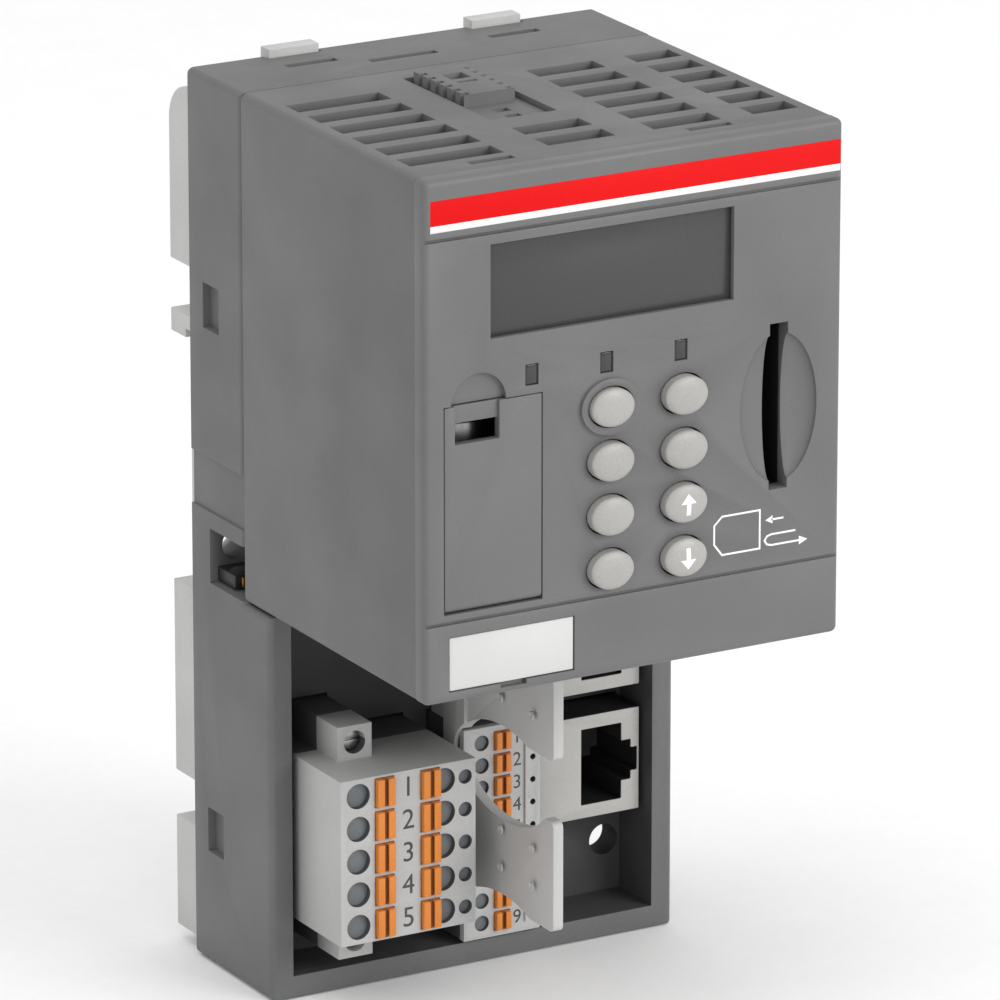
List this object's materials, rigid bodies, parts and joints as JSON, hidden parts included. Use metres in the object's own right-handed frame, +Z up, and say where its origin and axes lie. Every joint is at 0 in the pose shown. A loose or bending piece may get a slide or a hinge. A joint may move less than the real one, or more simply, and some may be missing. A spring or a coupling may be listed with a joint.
{
  "type": "plc module",
  "caption": "Rail-mounted programmable controller: a keypad and display module plugged onto a terminal base with pluggable spring terminals and two network jacks.",
  "frame": {"origin": "centre of the mounting rail's seat on the back plate, mid-width", "axes": "+X to the right of someone facing the keypad, +Y into the rail, +Z up"},
  "size_m": [0.0676, 0.079, 0.1362],
  "materials": {
    "grey_housing": "fine moulded texture",
    "light_housing": "moulded, satin",
    "jack_housing": "moulded, satin",
    "key_caps": "moulded, satin",
    "orange_levers": "moulded, satin",
    "red_strip": "printed, satin",
    "smoked_window": "polished",
    "black_plastic": "moulded",
    "clear_pipe": "polished",
    "white_label": "smooth",
    "rubber_mat": "silicone",
    "circuit_board": "solder mask",
    "dark_header": "moulded",
    "fin_metal": "extruded",
    "cell_steel": "plated",
    "screw_steel": "zinc plated"
  },
  "bodies": {
    "terminal_base": {"base_housing": "grey_housing", "back_plate": "light_housing", "base_board": "circuit_board", "bus_contact": "black_plastic", "cpu_socket": "black_plastic", "power_header": "black_plastic", "serial_header": "dark_header", "ethernet_jack_lower": "jack_housing", "ethernet_jack_upper": "jack_housing"},
    "rail_clip": {"rail_clip": "light_housing"},
    "cpu_module": {"cpu_housing": "grey_housing", "front_cover": "grey_housing", "accent_strip": "red_strip", "display_window": "smoked_window", "display_module": "black_plastic", "light_pipes": "clear_pipe", "marker_plate": "white_label", "keypad_mat": "rubber_mat", "front_board": "circuit_board", "main_board": "circuit_board", "cpu_connector": "black_plastic", "card_socket": "black_plastic", "heat_sink": "fin_metal", "battery_tray": "black_plastic", "battery": "cell_steel"},
    "battery_door": {"battery_door": "grey_housing"},
    "top_latch": {"top_latch": "grey_housing"},
    "foot_latch": {"foot_latch": "grey_housing"},
    "key_left_1": {"key_left_1": "key_caps"},
    "key_left_2": {"key_left_2": "key_caps"},
    "key_left_3": {"key_left_3": "key_caps"},
    "key_left_4": {"key_left_4": "key_caps"},
    "key_right_1": {"key_right_1": "key_caps"},
    "key_right_2": {"key_right_2": "key_caps"},
    "key_right_3": {"key_right_3": "key_caps"},
    "key_right_4": {"key_right_4": "key_caps"},
    "power_plug": {"power_plug": "light_housing", "flange_screws": "screw_steel"},
    "power_lever_a1": {"power_lever_a1": "orange_levers"},
    "power_lever_a2": {"power_lever_a2": "orange_levers"},
    "power_lever_a3": {"power_lever_a3": "orange_levers"},
    "power_lever_a4": {"power_lever_a4": "orange_levers"},
    "power_lever_a5": {"power_lever_a5": "orange_levers"},
    "power_lever_b1": {"power_lever_b1": "orange_levers"},
    "power_lever_b2": {"power_lever_b2": "orange_levers"},
    "power_lever_b3": {"power_lever_b3": "orange_levers"},
    "power_lever_b4": {"power_lever_b4": "orange_levers"},
    "power_lever_b5": {"power_lever_b5": "orange_levers"},
    "serial_plug": {"serial_plug": "light_housing", "cable_plate": "light_housing"},
    "serial_lever_1": {"serial_lever_1": "orange_levers"},
    "serial_lever_2": {"serial_lever_2": "orange_levers"},
    "serial_lever_3": {"serial_lever_3": "orange_levers"},
    "serial_lever_4": {"serial_lever_4": "orange_levers"},
    "serial_lever_5": {"serial_lever_5": "orange_levers"},
    "serial_lever_6": {"serial_lever_6": "orange_levers"},
    "serial_lever_7": {"serial_lever_7": "orange_levers"},
    "serial_lever_8": {"serial_lever_8": "orange_levers"},
    "serial_lever_9": {"serial_lever_9": "orange_levers"}
  },
  "joints": [
    {"name": "rail_clip_pull", "type": "slide", "parent": "terminal_base", "child": "rail_clip", "axis": [0, 0, -1], "range_m": [0, 0.003], "stiffness_N_per_m": 1200},
    {"name": "cpu_module_pull", "type": "slide", "parent": "terminal_base", "child": "cpu_module", "axis": [0, -1, 0], "range_m": [0, 0.03]},
    {"name": "battery_door_hinge", "type": "hinge", "parent": "cpu_module", "child": "battery_door", "pos_m": [-0.02275, -0.07, -0.0042], "axis": [1, 0, 0], "range_deg": [0, 90]},
    {"name": "top_latch_press", "type": "slide", "parent": "cpu_module", "child": "top_latch", "axis": [0, 0, -1], "range_m": [0, 0.002], "stiffness_N_per_m": 700},
    {"name": "foot_latch_press", "type": "slide", "parent": "cpu_module", "child": "foot_latch", "axis": [0, 0, 1], "range_m": [0, 0.002], "stiffness_N_per_m": 700},
    {"name": "key_left_1_press", "type": "slide", "parent": "cpu_module", "child": "key_left_1", "axis": [0, 1, 0], "range_m": [0, 0.0008], "stiffness_N_per_m": 500},
    {"name": "key_left_2_press", "type": "slide", "parent": "cpu_module", "child": "key_left_2", "axis": [0, 1, 0], "range_m": [0, 0.0008], "stiffness_N_per_m": 500},
    {"name": "key_left_3_press", "type": "slide", "parent": "cpu_module", "child": "key_left_3", "axis": [0, 1, 0], "range_m": [0, 0.0008], "stiffness_N_per_m": 500},
    {"name": "key_left_4_press", "type": "slide", "parent": "cpu_module", "child": "key_left_4", "axis": [0, 1, 0], "range_m": [0, 0.0008], "stiffness_N_per_m": 500},
    {"name": "key_right_1_press", "type": "slide", "parent": "cpu_module", "child": "key_right_1", "axis": [0, 1, 0], "range_m": [0, 0.0008], "stiffness_N_per_m": 500},
    {"name": "key_right_2_press", "type": "slide", "parent": "cpu_module", "child": "key_right_2", "axis": [0, 1, 0], "range_m": [0, 0.0008], "stiffness_N_per_m": 500},
    {"name": "key_right_3_press", "type": "slide", "parent": "cpu_module", "child": "key_right_3", "axis": [0, 1, 0], "range_m": [0, 0.0008], "stiffness_N_per_m": 500},
    {"name": "key_right_4_press", "type": "slide", "parent": "cpu_module", "child": "key_right_4", "axis": [0, 1, 0], "range_m": [0, 0.0008], "stiffness_N_per_m": 500},
    {"name": "power_plug_pull", "type": "slide", "parent": "terminal_base", "child": "power_plug", "axis": [0, -1, 0], "range_m": [0, 0.012]},
    {"name": "power_lever_a1_press", "type": "slide", "parent": "power_plug", "child": "power_lever_a1", "axis": [0, 1, 0], "range_m": [0, 0.001], "stiffness_N_per_m": 800},
    {"name": "power_lever_a2_press", "type": "slide", "parent": "power_plug", "child": "power_lever_a2", "axis": [0, 1, 0], "range_m": [0, 0.001], "stiffness_N_per_m": 800},
    {"name": "power_lever_a3_press", "type": "slide", "parent": "power_plug", "child": "power_lever_a3", "axis": [0, 1, 0], "range_m": [0, 0.001], "stiffness_N_per_m": 800},
    {"name": "power_lever_a4_press", "type": "slide", "parent": "power_plug", "child": "power_lever_a4", "axis": [0, 1, 0], "range_m": [0, 0.001], "stiffness_N_per_m": 800},
    {"name": "power_lever_a5_press", "type": "slide", "parent": "power_plug", "child": "power_lever_a5", "axis": [0, 1, 0], "range_m": [0, 0.001], "stiffness_N_per_m": 800},
    {"name": "power_lever_b1_press", "type": "slide", "parent": "power_plug", "child": "power_lever_b1", "axis": [0, 1, 0], "range_m": [0, 0.001], "stiffness_N_per_m": 800},
    {"name": "power_lever_b2_press", "type": "slide", "parent": "power_plug", "child": "power_lever_b2", "axis": [0, 1, 0], "range_m": [0, 0.001], "stiffness_N_per_m": 800},
    {"name": "power_lever_b3_press", "type": "slide", "parent": "power_plug", "child": "power_lever_b3", "axis": [0, 1, 0], "range_m": [0, 0.001], "stiffness_N_per_m": 800},
    {"name": "power_lever_b4_press", "type": "slide", "parent": "power_plug", "child": "power_lever_b4", "axis": [0, 1, 0], "range_m": [0, 0.001], "stiffness_N_per_m": 800},
    {"name": "power_lever_b5_press", "type": "slide", "parent": "power_plug", "child": "power_lever_b5", "axis": [0, 1, 0], "range_m": [0, 0.001], "stiffness_N_per_m": 800},
    {"name": "serial_plug_pull", "type": "slide", "parent": "terminal_base", "child": "serial_plug", "axis": [0, -1, 0], "range_m": [0, 0.012]},
    {"name": "serial_lever_1_press", "type": "slide", "parent": "serial_plug", "child": "serial_lever_1", "axis": [0, 1, 0], "range_m": [0, 0.001], "stiffness_N_per_m": 800},
    {"name": "serial_lever_2_press", "type": "slide", "parent": "serial_plug", "child": "serial_lever_2", "axis": [0, 1, 0], "range_m": [0, 0.001], "stiffness_N_per_m": 800},
    {"name": "serial_lever_3_press", "type": "slide", "parent": "serial_plug", "child": "serial_lever_3", "axis": [0, 1, 0], "range_m": [0, 0.001], "stiffness_N_per_m": 800},
    {"name": "serial_lever_4_press", "type": "slide", "parent": "serial_plug", "child": "serial_lever_4", "axis": [0, 1, 0], "range_m": [0, 0.001], "stiffness_N_per_m": 800},
    {"name": "serial_lever_5_press", "type": "slide", "parent": "serial_plug", "child": "serial_lever_5", "axis": [0, 1, 0], "range_m": [0, 0.001], "stiffness_N_per_m": 800},
    {"name": "serial_lever_6_press", "type": "slide", "parent": "serial_plug", "child": "serial_lever_6", "axis": [0, 1, 0], "range_m": [0, 0.001], "stiffness_N_per_m": 800},
    {"name": "serial_lever_7_press", "type": "slide", "parent": "serial_plug", "child": "serial_lever_7", "axis": [0, 1, 0], "range_m": [0, 0.001], "stiffness_N_per_m": 800},
    {"name": "serial_lever_8_press", "type": "slide", "parent": "serial_plug", "child": "serial_lever_8", "axis": [0, 1, 0], "range_m": [0, 0.001], "stiffness_N_per_m": 800},
    {"name": "serial_lever_9_press", "type": "slide", "parent": "serial_plug", "child": "serial_lever_9", "axis": [0, 1, 0], "range_m": [0, 0.001], "stiffness_N_per_m": 800}
  ]
}
